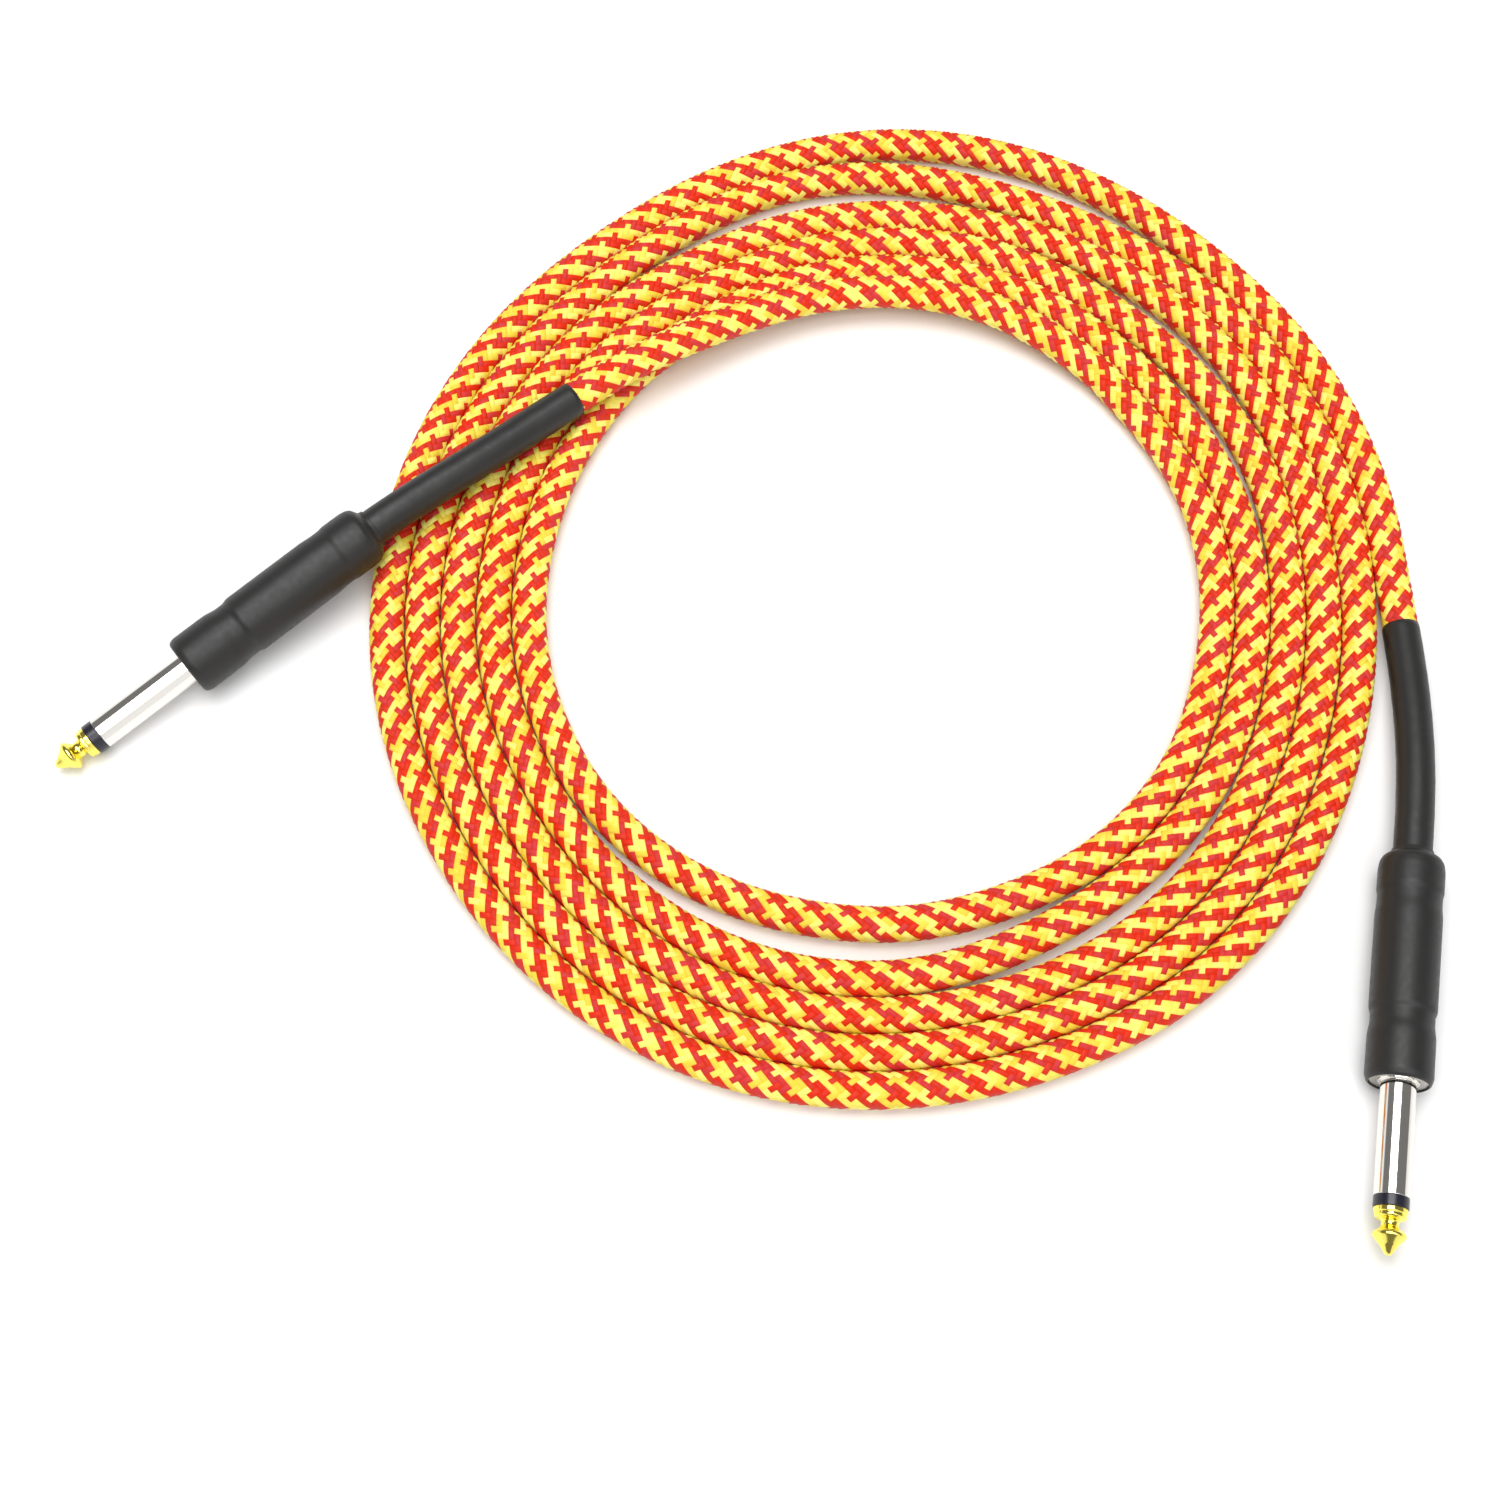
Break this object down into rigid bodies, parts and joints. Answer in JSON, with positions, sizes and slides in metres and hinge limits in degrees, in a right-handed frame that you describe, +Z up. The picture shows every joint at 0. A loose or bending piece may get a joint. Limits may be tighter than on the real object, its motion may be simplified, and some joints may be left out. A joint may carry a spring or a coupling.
{
  "type": "instrument cable",
  "caption": "Woven red and yellow instrument cable in a flat coil, with a straight quarter-inch plug in black heat-shrink at each end.",
  "frame": {"origin": "on the surface the coil lies on, under the middle of the whole object's box", "axes": "+Z up; +X towards the plug B side of the coil; +Y away from plug B's tip"},
  "size_m": [0.2644, 0.2444, 0.0176],
  "materials": {
    "woven_jacket": "braided polyester yarn in red and bright yellow",
    "heat_shrink": "satin black polyolefin",
    "nickel_plate": "polished nickel plate",
    "gold_plate": "polished gold plate",
    "insulator": "black moulded plastic",
    "phenolic": "pressed phenolic board",
    "tinned_brass": "tinned sheet brass",
    "clear_tube": "milky plastic sleeve",
    "solder": "dull solder",
    "inner_jacket": "soft black PVC",
    "copper": "bare stranded copper",
    "core_insulation": "white polyethylene"
  },
  "bodies": {
    "cable": {"coil": "woven_jacket", "cable_lead_a": "woven_jacket", "cable_lead_b": "woven_jacket", "plug_a_strain_relief": "heat_shrink", "plug_b_strain_relief": "heat_shrink"},
    "plug_a": {"plug_a_tip": "gold_plate", "plug_a_tip_rod": "gold_plate", "plug_a_tip_insulator": "insulator", "plug_a_sleeve_contact": "nickel_plate", "plug_a_rear_washer": "phenolic", "plug_a_tip_lug": "tinned_brass", "plug_a_ground_tongue": "tinned_brass", "plug_a_barrel_shell": "nickel_plate", "plug_a_insulating_tube": "clear_tube", "plug_a_barrel_shrink": "heat_shrink", "plug_a_solder_tip": "solder", "plug_a_solder_ground": "solder", "plug_a_inner_jacket": "inner_jacket", "plug_a_shield": "copper", "plug_a_core_insulation": "core_insulation", "plug_a_core_conductor": "copper"},
    "plug_b": {"plug_b_tip": "gold_plate", "plug_b_tip_rod": "gold_plate", "plug_b_tip_insulator": "insulator", "plug_b_sleeve_contact": "nickel_plate", "plug_b_rear_washer": "phenolic", "plug_b_tip_lug": "tinned_brass", "plug_b_ground_tongue": "tinned_brass", "plug_b_barrel_shell": "nickel_plate", "plug_b_insulating_tube": "clear_tube", "plug_b_barrel_shrink": "heat_shrink", "plug_b_solder_tip": "solder", "plug_b_solder_ground": "solder", "plug_b_inner_jacket": "inner_jacket", "plug_b_shield": "copper", "plug_b_core_insulation": "core_insulation", "plug_b_core_conductor": "copper"}
  },
  "joints": [
    {"name": "plug_a_lift", "type": "hinge", "parent": "cable", "child": "plug_a", "pos_m": [-0.0582, 0.0299, 0.0122], "axis": [-0.6239, 0.7815, 0], "range_deg": [0, 45], "deforming": ["plug_a_strain_relief", "cable_lead_a"]},
    {"name": "plug_b_lift", "type": "hinge", "parent": "cable", "child": "plug_b", "pos_m": [0.1276, -0.029, 0.006], "axis": [-0.9848, 0.1736, 0], "range_deg": [0, 45], "deforming": ["plug_b_strain_relief", "cable_lead_b"]}
  ]
}
